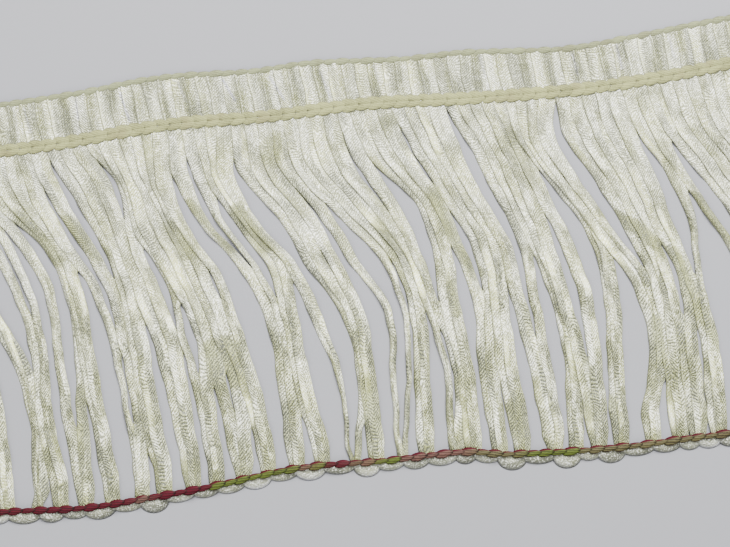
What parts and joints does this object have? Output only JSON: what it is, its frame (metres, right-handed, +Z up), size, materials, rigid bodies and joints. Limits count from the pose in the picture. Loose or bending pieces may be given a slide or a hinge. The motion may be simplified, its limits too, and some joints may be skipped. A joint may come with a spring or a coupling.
{
  "type": "chainette fringe trim, a cut length lying flat",
  "caption": "Flat knitted ribbon laid back and forth as a swaying fringe, held by an edge chain, a sewn heading and a removable foot stitch.",
  "frame": {"origin": "middle of the trim's bounding box, on the surface that it lies on", "axes": "+X along the trim to the right, +Y from the held feet to the top edge, +Z up out of its front"},
  "size_m": [0.243, 0.1082, 0.0036],
  "materials": {
    "ribbon": "satin knitted ribbon, ivory",
    "heading_yarn": "matt yarn, pale straw",
    "edge_yarn": "matt yarn, pale grey olive",
    "holding_thread": "thin thread, dark red changing to green and dusty pink"
  },
  "bodies": {
    "root": {"ribbon_fringe": "ribbon", "heading_chain": "heading_yarn", "edge_chain": "edge_yarn", "holding_chain": "holding_thread"}
  },
  "joints": []
}
